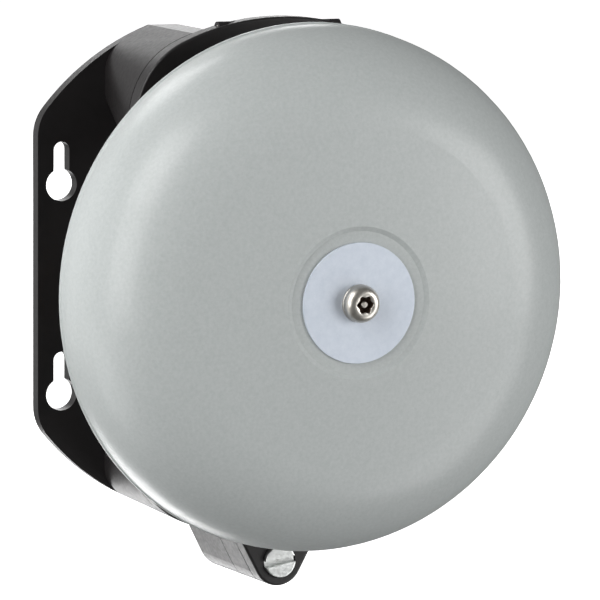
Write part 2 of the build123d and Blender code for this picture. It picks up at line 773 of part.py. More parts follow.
with BuildPart() as armature_plate:
    add(block((armature_x, armature_x + armature_thickness), (pivot_z + 1, armature_top),
              (coil_depth - armature_half_depth, coil_depth + armature_half_depth)))
    add(disc(barrel_start, barrel_end - barrel_start, barrel_radius, x=pivot_x, z=pivot_z))
    # Lug of the barrel that takes the hammer's rod
    add(block((pivot_x + pivot_pin_radius, pivot_x + 8), (pivot_z - 4.5, pivot_z + 1.5),
              (rod_depth - 2.5, rod_depth + 2.5)))
    with BuildSketch(at_depth(barrel_start)):
        with Locations((pivot_x, pivot_z)):
            Circle(pivot_pin_radius + running_gap)
    extrude(amount=barrel_end - barrel_start, mode=Mode.SUBTRACT)
    with BuildSketch(rod_plane):
        Circle(rod_radius + seat_gap)
    extrude(amount=rod_length, mode=Mode.SUBTRACT)
    with BuildSketch(across(armature_x)):
        with Locations(*[(-coil_depth, z) for z in rivet_zs]):
            Circle(rivet_radius + seat_gap)
    extrude(amount=armature_thickness, mode=Mode.SUBTRACT)
save(armature_plate.part, "armature_plate")

with BuildPart() as hammer_rod:
    with BuildSketch(rod_plane):
        Circle(rod_radius)
    extrude(amount=rod_length)
save(hammer_rod.part, "hammer_rod")

with BuildPart() as hammer_head:
    with BuildSketch(at_depth(rod_depth - hammer_half_length)):
        with Locations((hammer_x, hammer_z)):
            Circle(hammer_radius)
    extrude(amount=2 * hammer_half_length)
    fillet(hammer_head.edges().filter_by(GeomType.CIRCLE), hammer_edge)
    with BuildSketch(rod_plane):
        Circle(rod_radius + seat_gap)
    extrude(amount=rod_length, mode=Mode.SUBTRACT)
save(hammer_head.part, "hammer_head")

leaf_x = armature_x - leaf_thickness
button_x = leaf_x - button_height
with BuildPart() as contact_leaf:
    add(block((leaf_x, armature_x), (rivet_zs[0] - 4, contact_z + leaf_half_width),
              (coil_depth - leaf_half_width, coil_depth + leaf_half_width)))
    with BuildSketch(across(leaf_x)):
        with Locations(*[(-coil_depth, z) for z in rivet_zs]):
            Circle(rivet_radius + seat_gap)
    extrude(amount=leaf_thickness, mode=Mode.SUBTRACT)
    add(rod_across((button_x, leaf_x), button_radius, coil_depth, contact_z))
save(contact_leaf.part, "contact_leaf")

with BuildPart() as leaf_rivets:
    rivet_end = armature_x + armature_thickness - loose_gap
    for z in rivet_zs:
        add(rod_across((leaf_x - rivet_head_height, leaf_x), rivet_head_radius, coil_depth, z))
        add(rod_across((leaf_x, rivet_end), rivet_radius, coil_depth, z))
save(leaf_rivets.part, "leaf_rivets")

# ---------------------------------------------------------------- fixed contact
insulator_front = plate_front + insulator_thickness
bracket_foot = insulator_front + bracket_foot_sheet
with BuildPart() as contact_insulator:
    add(block((bracket_left - 0.5, bracket_right + 0.4), insulator_z, (plate_front, insulator_front)))
    with BuildSketch(at_depth(plate_front)):
        with Locations(*bracket_screws):
            Circle(small_thread_radius + seat_gap)
    extrude(amount=insulator_thickness, mode=Mode.SUBTRACT)
save(contact_insulator.part, "contact_insulator")

with BuildPart() as contact_bracket:
    add(block((bracket_left, bracket_right), bracket_foot_z, (insulator_front, bracket_foot)))
    add(block((bracket_left, bracket_left + bracket_sheet), bracket_leg_z,
              (bracket_foot, coil_depth + bracket_leg_height)))
    with BuildSketch(at_depth(insulator_front)):
        with Locations(*bracket_screws):
            Circle(small_thread_radius + seat_gap)
    extrude(amount=bracket_foot_sheet, mode=Mode.SUBTRACT)
    with BuildSketch(across(bracket_left)):
        with Locations((-coil_depth, contact_z)):
            Circle(contact_screw_radius + seat_gap)
    extrude(amount=bracket_sheet, mode=Mode.SUBTRACT)
save(contact_bracket.part, "contact_bracket")

with BuildPart() as bracket_fixings:
    for x, z in bracket_screws:
        add(disc(bracket_foot, bracket_head_height, small_head_radius, x=x, z=z))
        add(disc(thread_tip, bracket_foot - thread_tip, small_thread_radius, x=x, z=z))
save(bracket_fixings.part, "bracket_fixings")

with BuildPart() as contact_screw:
    tip_end = button_x - contact_gap
    tip_start = tip_end - contact_tip_length
    add(rod_across((contact_knob[1], tip_start), contact_screw_radius, coil_depth, contact_z))
    add(rod_across((tip_start, tip_end), contact_tip_radius, coil_depth, contact_z))
    add(rod_across(contact_knob, contact_knob_radius, coil_depth, contact_z))
save(contact_screw.part, "contact_screw")

with BuildPart() as contact_lock_nut:
    with BuildSketch(across(bracket_left + bracket_sheet)):
        with Locations((-coil_depth, contact_z)):
            RegularPolygon(small_nut_radius, 6)
            Circle(contact_screw_radius + seat_gap, mode=Mode.SUBTRACT)
    extrude(amount=lock_nut_height)
save(contact_lock_nut.part, "contact_lock_nut")

with BuildPart() as spark_suppressor:
    add(block(suppressor_x, suppressor_z, (plate_front, plate_front + suppressor_height)))
    fillet(spark_suppressor.edges().filter_by(Axis.Y), suppressor_corner)
save(spark_suppressor.part, "spark_suppressor")

# ---------------------------------------------------------------- gong and its fixing
apex_depth = gong_rim_depth + gong_height
crown_centre = apex_depth - crown_radius
skirt_radius = gong_radius - rim_lip
shoulder_r = skirt_radius - shoulder_radius
crown_angle = asin(shoulder_r / (crown_radius - shoulder_radius))
shoulder_depth = crown_centre + (crown_radius - shoulder_radius) * cos(crown_angle)


def crown(radius, inset=0.0):
    """Point of the crowned face at a given radius."""
    return (radius, crown_centre + sqrt((crown_radius - inset) ** 2 - radius ** 2))


def shoulder(angle, inset=0.0):
    """Point of the shoulder arc, angle counted from the gong's axis."""
    bend = shoulder_radius - inset
    return (shoulder_r + bend * sin(angle), shoulder_depth + bend * cos(angle))


def dome_line(inset, start_radius, end_depth):
    """Face, shoulder and skirt of one side of the sheet, as one chain of edges."""
    halfway = (crown_angle + right_angle) / 2
    face_end = shoulder(crown_angle, inset)
    start = crown(start_radius, inset)
    ThreePointArc(start, crown((start_radius + face_end[0]) / 2, inset), face_end)
    ThreePointArc(face_end, shoulder(halfway, inset), shoulder(right_angle, inset))
    Line(shoulder(right_angle, inset), (skirt_radius - inset, end_depth))


with BuildPart() as gong:
    lip_top = gong_rim_depth + rim_lip_height
    recess_top = recess_radius + recess_slope
    inner_face = recess_face_depth - gong_sheet
    with BuildSketch(turned):
        with BuildLine():
            dome_line(0.0, recess_top, lip_top)
            Polyline((skirt_radius, lip_top), (gong_radius, lip_top - rim_lip), (gong_radius, gong_rim_depth),
                     (skirt_radius - gong_sheet, gong_rim_depth))
            dome_line(gong_sheet, recess_top + gong_sheet, gong_rim_depth)
            Polyline(crown(recess_top), (recess_radius, recess_face_depth),
                     (gong_hole_radius, recess_face_depth), (gong_hole_radius, inner_face),
                     (recess_radius + gong_sheet, inner_face), crown(recess_top + gong_sheet, gong_sheet))
        make_face()
    revolve(axis=Axis.Y)
save(gong.part, "gong")

with BuildPart() as label_disc:
    add(disc(recess_face_depth, label_thickness, label_radius, gong_hole_radius))
save(label_disc.part, "label_disc")

washer_start = recess_face_depth + label_thickness
with BuildPart() as screw_washer:
    add(disc(washer_start, washer_thickness, washer_radius, gong_thread_radius + loose_gap))
save(screw_washer.part, "screw_washer")

with BuildPart() as gong_washer:
    add(disc(post_top, rubber_washer, rubber_washer_radius, gong_hole_radius))
save(gong_washer.part, "gong_washer")

screw_seat = washer_start + washer_thickness
screw_top = screw_seat + gong_head_height
with BuildPart() as gong_screw:
    add(disc(screw_seat - gong_thread_length, gong_thread_length, gong_thread_radius))
    # Domed head: a low cylinder under a spherical cap with a flat top
    head_edge = (gong_head_radius, screw_seat + gong_head_land)
    bulge_radius, bulge_rise = gong_head_bulge
    with BuildSketch(turned):
        with BuildLine():
            Polyline((0, screw_seat), (gong_head_radius, screw_seat), head_edge)
            ThreePointArc(head_edge, (bulge_radius, screw_seat + bulge_rise), (gong_head_flat, screw_top))
            Polyline((gong_head_flat, screw_top), (0, screw_top), (0, screw_seat))
        make_face()
    revolve(axis=Axis.Y)
    # Six-lobe socket with a tamper-proof pin
    with BuildSketch(at_depth(screw_top)):
        Circle(socket_radius)
        with PolarLocations(lobe_circle_radius, 6):
            Circle(lobe_radius)
        Circle(socket_pin_radius, mode=Mode.SUBTRACT)
    extrude(amount=-socket_depth, mode=Mode.SUBTRACT)
save(gong_screw.part, "gong_screw")

# ---------------------------------------------------------------- closing screw in the lug
head_rear = lug_head_front - lug_head_height
with BuildPart() as lug_screw:
    add(disc(lug_tip_start, lug_shaft_start - lug_tip_start, lug_tip_pin_radius, z=lug_screw_z))
    add(disc(lug_shaft_start, head_rear - lug_shaft_start, lug_thread_radius, z=lug_screw_z))
    add(disc(head_rear, lug_head_height, lug_head_radius, z=lug_screw_z))
    with BuildSketch(at_depth(lug_head_front)):
        with Locations((0, lug_screw_z)):
            Rectangle(2 * lug_head_radius + 1, lug_slot, rotation=slot_angle)
    extrude(amount=-lug_slot, mode=Mode.SUBTRACT)
save(lug_screw.part, "lug_screw")
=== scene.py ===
"""Looks of the alarm bell: materials, detailed pieces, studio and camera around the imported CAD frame.

Frame: metres, +Z up, +X to the right seen from the front, the front faces -Y, the wall face is y = 0.
"""
import json
from math import cos, pi, radians, sin, sqrt, tan

import bmesh
import bpy
from mathutils import Matrix, Vector


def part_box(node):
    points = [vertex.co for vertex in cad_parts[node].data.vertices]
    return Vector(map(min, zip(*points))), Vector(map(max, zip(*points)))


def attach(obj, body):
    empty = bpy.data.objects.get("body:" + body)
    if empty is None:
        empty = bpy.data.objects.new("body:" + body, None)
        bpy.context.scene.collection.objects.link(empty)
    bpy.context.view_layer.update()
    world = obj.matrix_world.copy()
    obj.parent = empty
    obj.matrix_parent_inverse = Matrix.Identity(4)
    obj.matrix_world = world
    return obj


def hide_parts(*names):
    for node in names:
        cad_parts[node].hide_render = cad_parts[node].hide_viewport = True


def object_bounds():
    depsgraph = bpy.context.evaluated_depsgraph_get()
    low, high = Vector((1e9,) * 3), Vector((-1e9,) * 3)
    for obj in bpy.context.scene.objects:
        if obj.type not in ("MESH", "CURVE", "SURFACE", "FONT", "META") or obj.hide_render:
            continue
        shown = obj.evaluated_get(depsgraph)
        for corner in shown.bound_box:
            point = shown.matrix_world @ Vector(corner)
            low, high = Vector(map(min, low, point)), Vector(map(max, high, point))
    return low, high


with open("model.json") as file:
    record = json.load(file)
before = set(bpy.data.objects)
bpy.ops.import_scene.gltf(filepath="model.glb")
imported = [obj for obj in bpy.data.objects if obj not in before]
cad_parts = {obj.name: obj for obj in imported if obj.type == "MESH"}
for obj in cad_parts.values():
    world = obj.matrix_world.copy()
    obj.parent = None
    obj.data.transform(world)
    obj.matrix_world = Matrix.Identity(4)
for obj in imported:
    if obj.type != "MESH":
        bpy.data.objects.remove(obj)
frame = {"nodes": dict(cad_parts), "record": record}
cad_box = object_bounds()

scene = bpy.context.scene
nodes = frame["nodes"]
slot_of = {part["node"]: part["material_slot"] for part in frame["record"]["subparts"]}

MM = 0.001


# ---------------------------------------------------------------- camera
YAW = radians(23.81)
PITCH = radians(7.89)
ROLL = radians(0.466)
TARGET = Vector((23.40, 0.0, -12.41)) * MM
DISTANCE = 1300.1 * MM
LENS = 262.3
SENSOR = 36.0
NEAREST, FURTHEST = 0.05, 40.0


def add_camera():
    """Long lens to the left of the bell and a little above it."""
    look = Vector((sin(YAW) * cos(PITCH), cos(YAW) * cos(PITCH), -sin(PITCH)))
    level = Vector((cos(YAW), -sin(YAW), 0.0))
    above = level.cross(look)
    right = cos(ROLL) * level + sin(ROLL) * above
    up = cos(ROLL) * above - sin(ROLL) * level
    data = bpy.data.cameras.new("camera")
    data.lens = LENS
    data.sensor_width = SENSOR
    data.clip_start = NEAREST
    data.clip_end = FURTHEST
    camera = bpy.data.objects.new("camera", data)
    turn = Matrix((right, up, -look)).transposed().to_4x4()
    camera.matrix_world = Matrix.Translation(TARGET - look * DISTANCE) @ turn
    scene.collection.objects.link(camera)
    scene.camera = camera


# ---------------------------------------------------------------- node helpers
class Surface:
    """A Principled material in the making; coordinates are the row frame's, in metres."""

    def __init__(self, name, colour, roughness, metallic=0.0, specular=0.5):
        self.material = bpy.data.materials.new(name)
        self.material.use_nodes = True
        self.tree = self.material.node_tree
        self.shader = self.tree.nodes["Principled BSDF"]
        self.shader.inputs["Base Color"].default_value = (*colour, 1.0)
        self.shader.inputs["Roughness"].default_value = roughness
        self.shader.inputs["Metallic"].default_value = metallic
        self.shader.inputs["Specular IOR Level"].default_value = specular
        self.place = self.tree.nodes.new("ShaderNodeTexCoord").outputs["Object"]
        self.height = None

    def set(self, **values):
        for name, value in values.items():
            self.shader.inputs[name.replace("_", " ")].default_value = value
        return self

    def stretched(self, x=1.0, y=1.0, z=1.0):
        """Coordinates scaled along the axes, for grain that runs one way."""
        mapping = self.tree.nodes.new("ShaderNodeMapping")
        mapping.inputs["Scale"].default_value = (x, y, z)
        self.tree.links.new(self.place, mapping.inputs["Vector"])
        return mapping.outputs["Vector"]

    def noise(self, size, detail=2.0, rough=0.5, place=None):
        """Noise whose features are about that many millimetres across."""
        node = self.tree.nodes.new("ShaderNodeTexNoise")
        node.inputs["Scale"].default_value = 1.0 / (size * MM)
        node.inputs["Detail"].default_value = detail
        node.inputs["Roughness"].default_value = rough
        self.tree.links.new(place or self.place, node.inputs["Vector"])
        return node.outputs["Fac"]

    def between(self, value, low, high, out_low=0.0, out_high=1.0):
        node = self.tree.nodes.new("ShaderNodeMapRange")
        limits = {"From Min": low, "From Max": high, "To Min": out_low, "To Max": out_high}
        for name, number in limits.items():
            node.inputs[name].default_value = number
        self.tree.links.new(value, node.inputs["Value"])
        return node.outputs["Result"]

    def mottle(self, value, dark, light, low=0.3, high=0.7):
        """Colours the surface from dark to light by a noise value."""
        ramp = self.tree.nodes.new("ShaderNodeValToRGB")
        ramp.color_ramp.elements[0].position = low
        ramp.color_ramp.elements[0].color = (*dark, 1.0)
        ramp.color_ramp.elements[1].position = high
        ramp.color_ramp.elements[1].color = (*light, 1.0)
        self.tree.links.new(value, ramp.inputs["Fac"])
        self.tree.links.new(ramp.outputs["Color"], self.shader.inputs["Base Color"])
        return self

    def rough_by(self, value, smoothest, roughest, low=0.3, high=0.7):
        scaled = self.between(value, low, high, smoothest, roughest)
        self.tree.links.new(scaled, self.shader.inputs["Roughness"])
        return self

    def bump(self, value, micrometres, strength=1.0):
        """Adds a height to the surface's relief."""
        node = self.tree.nodes.new("ShaderNodeBump")
        node.inputs["Distance"].default_value = micrometres * 1e-6
        node.inputs["Strength"].default_value = strength
        self.tree.links.new(value, node.inputs["Height"])
        if self.height is not None:
            self.tree.links.new(self.height, node.inputs["Normal"])
        self.height = node.outputs["Normal"]
        self.tree.links.new(self.height, self.shader.inputs["Normal"])
        return self


# ---------------------------------------------------------------- materials by slot
def gong_paint():
    s = Surface("gong_paint", (0.45, 0.475, 0.47), 0.42, specular=0.45)
    s.mottle(s.noise(1.0, 4.0, 0.7), (0.420, 0.447, 0.441), (0.478, 0.504, 0.498), 0.32, 0.68)
    s.rough_by(s.noise(2.5), 0.38, 0.47)
    s.bump(s.noise(1.1, 2.0), 6).bump(s.noise(0.35, 1.0), 2)
    return s.set(Coat_Weight=0.2, Coat_Roughness=0.2)


def black_moulding():
    s = Surface("black_moulding", (0.011, 0.0095, 0.0098), 0.42, specular=0.5)
    s.mottle(s.noise(9.0, 4.0), (0.009, 0.0078, 0.0080), (0.013, 0.0112, 0.0115))
    s.rough_by(s.noise(1.2, 3.0), 0.37, 0.47)
    s.bump(s.noise(0.45, 2.0), 9).bump(s.noise(0.18, 1.0), 3)
    return s


def label_aluminium():
    s = Surface("label_aluminium", (0.60, 0.65, 0.73), 0.46, metallic=0.25)
    s.mottle(s.noise(2.6, 5.0, 0.7), (0.565, 0.62, 0.70), (0.64, 0.69, 0.765))
    s.bump(s.noise(0.3, 2.0), 3)
    return s


def steel_plain():
    s = Surface("steel_plain", (0.55, 0.52, 0.47), 0.36, metallic=1.0)
    s.rough_by(s.noise(0.5, 3.0), 0.30, 0.42)
    s.mottle(s.noise(2.0, 3.0), (0.50, 0.475, 0.43), (0.60, 0.575, 0.53))
    s.bump(s.noise(0.25, 2.0), 2)
    return s


def steel_zinc():
    s = Surface("steel_zinc", (0.84, 0.86, 0.85), 0.36, metallic=1.0)
    s.mottle(s.noise(1.6, 4.0), (0.78, 0.80, 0.78), (0.90, 0.92, 0.91))
    s.rough_by(s.noise(0.8, 3.0), 0.28, 0.46)
    s.bump(s.noise(0.3, 2.0), 3)
    return s


# Dark steel for a screw slot's walls and floor: painted shade in the slot.
def slot_painted_shade():
    s = Surface("slot_painted_shade", (0.20, 0.215, 0.195), 0.5, metallic=1.0)
    s.mottle(s.noise(0.7, 3.0), (0.17, 0.185, 0.165), (0.24, 0.255, 0.235))
    s.bump(s.noise(0.25, 2.0), 4)
    return s.material


# Dark brown for the inside of the gong screw's socket: painted shade in the socket.
def socket_painted_shade():
    s = Surface("socket_painted_shade", (0.085, 0.055, 0.040), 0.55, metallic=0.6, specular=0.3)
    s.mottle(s.noise(0.5, 3.0), (0.06, 0.038, 0.027), (0.11, 0.075, 0.055))
    s.bump(s.noise(0.2, 2.0), 4)
    return s.material


def brass_plain():
    s = Surface("brass_plain", (0.72, 0.50, 0.22), 0.30, metallic=1.0)
    s.mottle(s.noise(1.8, 4.0), (0.62, 0.42, 0.18), (0.78, 0.57, 0.27))
    s.rough_by(s.noise(0.7, 3.0), 0.22, 0.40)
    s.bump(s.noise(0.3, 2.0), 2)
    return s


def seal_rubber():
    s = Surface("seal_rubber", (0.022, 0.022, 0.023), 0.72, specular=0.35)
    s.mottle(s.noise(3.0, 4.0), (0.018, 0.018, 0.019), (0.030, 0.030, 0.031))
    s.bump(s.noise(0.5, 2.0), 12)
    return s


def bobbin_nylon():
    s = Surface("bobbin_nylon", (0.75, 0.71, 0.60), 0.42)
    s.mottle(s.noise(4.0, 3.0), (0.70, 0.66, 0.54), (0.78, 0.75, 0.65))
    s.bump(s.noise(0.6, 2.0), 6)
    return s


def coil_wire():
    s = Surface("coil_wire", (0.50, 0.16, 0.05), 0.22, metallic=0.85)
    s.mottle(s.noise(1.5, 3.0), (0.42, 0.12, 0.035), (0.58, 0.21, 0.075))
    s.rough_by(s.noise(0.6), 0.16, 0.30)
    s.bump(s.noise(0.2), 1)
    return s.set(Coat_Weight=0.6, Coat_Roughness=0.12)


def insulating_board():
    s = Surface("insulating_board", (0.30, 0.15, 0.07), 0.5)
    s.mottle(s.noise(0.8, 4.0), (0.24, 0.115, 0.05), (0.36, 0.19, 0.09))
    s.bump(s.noise(0.4, 3.0, place=s.stretched(1.0, 4.0, 1.0)), 8)
    return s


def terminal_plastic():
    s = Surface("terminal_plastic", (0.76, 0.75, 0.70), 0.48)
    s.mottle(s.noise(5.0, 3.0), (0.72, 0.71, 0.65), (0.80, 0.79, 0.745))
    s.bump(s.noise(0.5, 2.0), 6)
    return s


def lead(name, dark, light):
    s = Surface(name, dark, 0.38)
    s.mottle(s.noise(3.0, 3.0), dark, light)
    s.rough_by(s.noise(1.0), 0.32, 0.46)
    s.bump(s.noise(0.7, 2.0), 8)
    return s


def lead_red():
    return lead("lead_red", (0.42, 0.018, 0.012), (0.55, 0.035, 0.025))


def lead_blue():
    return lead("lead_blue", (0.018, 0.075, 0.32), (0.035, 0.12, 0.44))


def suppressor_case():
    s = Surface("suppressor_case", (0.62, 0.42, 0.07), 0.34)
    s.mottle(s.noise(3.0, 3.0), (0.57, 0.38, 0.055), (0.67, 0.47, 0.09))
    s.bump(s.noise(0.9, 2.0), 7)
    return s


makers = (black_moulding, seal_rubber, brass_plain, steel_plain, steel_zinc, gong_paint, label_aluminium,
          bobbin_nylon, coil_wire, insulating_board, terminal_plastic, lead_red, lead_blue, suppressor_case)
finish = {make.__name__: make().material for make in makers}

for name, node in nodes.items():
    node.data.materials.clear()
    node.data.materials.append(finish[slot_of[name]])


# ---------------------------------------------------------------- detailed pieces
AROUND = 96
SHARP = radians(35)
FORWARD = ((0.0, -1.0, 0.0), (1.0, 0.0, 0.0), (0.0, 0.0, 1.0))
RIGHT = ((1.0, 0.0, 0.0), (0.0, 1.0, 0.0), (0.0, 0.0, 1.0))
body_of = {node: body for body, members in frame["record"]["behaviour"]["bodies"].items() for node in members}


def piece(node, points, faces):
    """Mesh that stands for one CAD node, in its body and with its finish."""
    mesh = bpy.data.meshes.new(node + "_detail")
    mesh.from_pydata([Vector(point) * MM for point in points], [], faces)
    built = bmesh.new()
    built.from_mesh(mesh)
    bmesh.ops.recalc_face_normals(built, faces=built.faces)
    built.to_mesh(mesh)
    built.free()
    mesh.polygons.foreach_set("use_smooth", [True] * len(mesh.polygons))
    mesh.set_sharp_from_angle(angle=SHARP)
    mesh.materials.append(finish[slot_of[node]])
    made = bpy.data.objects.new(node + "_detail", mesh)
    scene.collection.objects.link(made)
    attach(made, body_of[node])
    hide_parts(node)
    return made


def middle_of(node):
    """Middle of a node's box in millimetres, rounded to 0.01 because the box is of a faceted mesh."""
    low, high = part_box(node)
    return Vector([round((start + end) / 2 / MM, 2) for start, end in zip(low, high)])


def turned(node, axes, rings, closed=False, inner=None, inner_finish=None):
    """Turned piece about the line through the middle of its node's box.

    Each ring is a distance along the line, from level with the origin, and a radius,
    or a function that gives the radius at an angle.
    A closed piece joins its last ring to its first, which leaves a bore.
    Faces between the two rings numbered in inner get the inner finish.
    """
    along, across, up = (Vector(axis) for axis in axes)
    centre = middle_of(node)
    centre -= centre.dot(along) * along
    points, rows = [], []
    for distance, radius in rings:
        middle = centre + along * distance
        if radius == 0:
            rows.append([len(points)] * AROUND)
            points.append(middle)
            continue
        rows.append(range(len(points), len(points) + AROUND))
        for step in range(AROUND):
            angle = 2 * pi * step / AROUND
            reach = radius(angle) if callable(radius) else radius
            points.append(middle + reach * (cos(angle) * across + sin(angle) * up))
    faces = []
    for first, second in zip(rows, rows[1:] + rows[:1] if closed else rows[1:]):
        for step in range(AROUND):
            after = (step + 1) % AROUND
            corners = (first[step], first[after], second[after], second[step])
            faces.append(tuple(dict.fromkeys(corners)))
    made = piece(node, points, faces)
    if inner is not None:
        made.data.materials.append(inner_finish)
        first, last = inner
        for face in made.data.polygons[first * AROUND:last * AROUND]:
            face.material_index = 1
    return made


def softened(profile, blend, closed=False, steps=4):
    """Profile with each corner rounded off over about that many millimetres."""
    if closed:
        corners = list(zip(profile[-1:] + profile[:-1], profile, profile[1:] + profile[:1]))
    else:
        corners = list(zip(profile, profile[1:], profile[2:]))
    rings = [] if closed else [profile[0]]
    for before, corner, after in corners:
        before, corner, after = Vector(before), Vector(corner), Vector(after)
        reach = min(blend, 0.45 * (before - corner).length, 0.45 * (after - corner).length)
        back, onward = (before - corner).normalized() * reach, (after - corner).normalized() * reach
        # A narrow land on both sides of the curve keeps the flat faces flat under smooth shading
        rings.append(tuple(corner + 1.1 * back))
        for step in range(steps + 1):
            t = step / steps
            rings.append(tuple(corner + (1 - t) ** 2 * back + t ** 2 * onward))
        rings.append(tuple(corner + 1.1 * onward))
    return rings if closed else rings + [profile[-1]]


def wound(start, end, radius, pitch, shape, per_turn=8):
    """Rings of a helix: shape gives how far the surface drops below the radius across one turn."""
    count = round((end - start) / pitch * per_turn)
    rings = []
    for step in range(count + 1):
        distance = start + (end - start) * step / count
        fade = min(1.0, 4 * (distance - start) / pitch, 4 * (end - distance) / pitch)

        def reach(angle, distance=distance, fade=fade):
            return radius - fade * shape((distance / pitch - angle / (2 * pi)) % 1.0)
        rings.append((distance, reach))
    return rings


def thread(start, end, radius, pitch):
    return wound(start, end, radius, pitch, lambda t: 0.55 * pitch * abs(2 * t - 1))


def wire_turns(start, end, radius, pitch):
    return wound(start, end, radius, pitch, lambda t: pitch / 2 * (1 - sqrt(max(0.0, 1 - (2 * t - 1) ** 2))))


def hexagon(corner, limit=100.0):
    """Radius of a hexagon by angle, with a corner on the first axis, cut back to a limit."""
    def reach(angle):
        return min(limit, corner * cos(pi / 6) / cos((angle % (pi / 3)) - pi / 6))
    return reach


def hex_rings(start, end, corner, both=True):
    """Hexagon nut or head whose corners are turned off at 30 degrees."""
    flat = corner * cos(pi / 6)
    drop = (corner - 0.97 * flat) * tan(pi / 6)
    steps = 5
    rise = [(drop * step / steps, 0.97 * flat + (corner - 0.97 * flat) * step / steps)
            for step in range(steps + 1)]
    lower = [(start + height, hexagon(corner, limit)) for height, limit in rise] if both else [
        (start, hexagon(corner))]
    return lower + [(end - height, hexagon(corner, limit)) for height, limit in reversed(rise)]


def knurled(radius, teeth, depth):
    def reach(angle):
        return radius - depth * abs((angle * teeth / (2 * pi)) % 1.0 * 2 - 1)
    return reach


def cut_slot(node, made, length, width, depth, tilt):
    """Saws a straight slot across the forward face of a screw's head."""
    face = middle_of(node)
    face.y = round(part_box(node)[0].y / MM, 2)
    bpy.ops.mesh.primitive_cube_add(size=1.0)
    saw = bpy.context.object
    saw.scale = Vector((length, 2 * depth, width)) * MM
    saw.rotation_euler = (0.0, -tilt, 0.0)
    saw.location = face * MM
    saw.data.materials.append(finish[slot_of[node]])
    # The slot's faces take the dark steel: painted shade in the slot.
    saw.data.materials.append(slot_painted_shade())
    for side in saw.data.polygons:
        side.material_index = 1
    cut = made.modifiers.new("slot", "BOOLEAN")
    cut.operation = "DIFFERENCE"
    cut.solver = "EXACT"
    cut.object = saw
    bpy.context.view_layer.update()
    sawn = bpy.data.meshes.new_from_object(made.evaluated_get(bpy.context.evaluated_depsgraph_get()))
    made.modifiers.clear()
    made.data = sawn
    bpy.data.objects.remove(saw)


def add_fixings():
    screw = turned("lug_screw", FORWARD,
                   softened([(17.8, 0), (17.8, 1.9), (22.4, 1.9), (22.9, 2.2)], 0.3)
                   + thread(23.0, 37.6, 2.5, 0.8)
                   + softened([(38.05, 2.4), (38.05, 4.65), (41.0, 4.65), (41.0, 0)], 0.28))
    cut_slot("lug_screw", screw, length=12.0, width=1.85, depth=1.7, tilt=radians(9.5))
    knurl = knurled(3.5, 24, 0.2)
    turned("lug_insert", FORWARD,
           [(8.0, 2.52), (8.0, 3.2), (8.3, knurl), (14.0, knurl), (14.4, 3.0), (15.4, 3.0),
            (15.8, knurl), (21.6, knurl), (21.9, 3.2), (21.9, 2.52)], closed=True)
    turned("hinge_pin", RIGHT,
           softened([(-18.9, 0), (-18.9, 1.25), (18.9, 1.25), (18.9, 0)], 0.25))
    turned("entry_grommet", FORWARD,
           softened([(0, 4.5), (0, 9.5), (1.1, 9.5), (1.1, 7.0), (2.5, 7.0), (2.5, 9.5), (4.5, 9.5),
                     (4.5, 4.5)], 0.5, closed=True), closed=True)
    turned("lead_grommet", FORWARD,
           softened([(35.5, 2.6), (35.5, 6.0), (37.0, 6.0), (37.0, 4.4), (39.5, 4.4), (39.5, 6.0),
                     (41.0, 6.0), (41.0, 2.6)], 0.5, closed=True), closed=True)


def add_gong_fixings():
    base, top = 94.4, 97.7
    head_radius, dome_rise = 5.25, 2.7
    mouth, floor = 2.9, top - 2.2

    def lobed(angle):
        return 2.28 + 0.24 * cos(6 * angle)

    def rim(angle):
        return lobed(angle) + 0.16

    def shoulder(angle):
        return lobed(angle) + 0.07
    bulge = [(base + 0.6 + dome_rise * sin(turn), mouth + (head_radius - mouth) * cos(turn))
             for turn in (radians(5 * step) for step in range(19))]
    outside = (softened([(74.4, 0), (74.4, 2.4), (75.0, 2.9)], 0.3) + thread(75.2, 93.9, 3.0, 1.0)
               + [(94.2, 2.9), (base, 3.4), (base, 5.0), (base + 0.12, 5.2), (base + 0.4, head_radius)]
               + bulge
               + [(top, mouth - 0.05), (top, rim), (top - 0.05, shoulder), (top - 0.14, lobed)])
    socket = [(floor, lobed), (floor - 0.25, 1.6), (floor - 0.25, 1.05), (floor, 0.95), (top - 0.75, 0.95),
              (top - 0.6, 0.8), (top - 0.56, 0)]
    # The socket's walls and floor, up to the pin, take the dark brown: painted shade in the socket.
    turned("gong_screw", FORWARD, outside + socket, inner=(len(outside) - 1, len(outside) + 3),
           inner_finish=socket_painted_shade())
    turned("screw_washer", FORWARD,
           softened([(93.5, 3.2), (93.5, 5.3), (94.4, 5.3), (94.4, 3.2)], 0.3, closed=True), closed=True)
    turned("gong_washer", FORWARD,
           softened([(89.6, 3.2), (89.6, 9.0), (91.1, 9.0), (91.1, 3.2)], 0.4, closed=True), closed=True)
    turned("label_disc", FORWARD,
           softened([(92.9, 3.4), (92.9, 16.85), (93.5, 16.85), (93.5, 3.4)], 0.14, closed=True), closed=True)
    turned("gong_post", FORWARD,
           softened([(30.2, 0), (30.2, 3.4), (30.7, 3.7)], 0.2) + thread(30.8, 38.8, 4.0, 1.25)
           + softened([(39.2, 3.8), (39.5, 3.9), (39.5, 9.5), (41.5, 9.5), (41.5, 6.0), (89.6, 6.0),
                       (89.6, 3.1), (73.0, 3.1), (72.0, 0)], 0.45))
    turned("post_nut", FORWARD,
           [(34.1, 4.05), (31.6, 4.05), (31.2, 4.45)] + hex_rings(31.2, 34.1, 7.5), closed=True)
    turned("post_washer", FORWARD,
           softened([(34.1, 4.1), (34.1, 8.5), (34.9, 8.5), (34.9, 4.1)], 0.2, closed=True), closed=True)


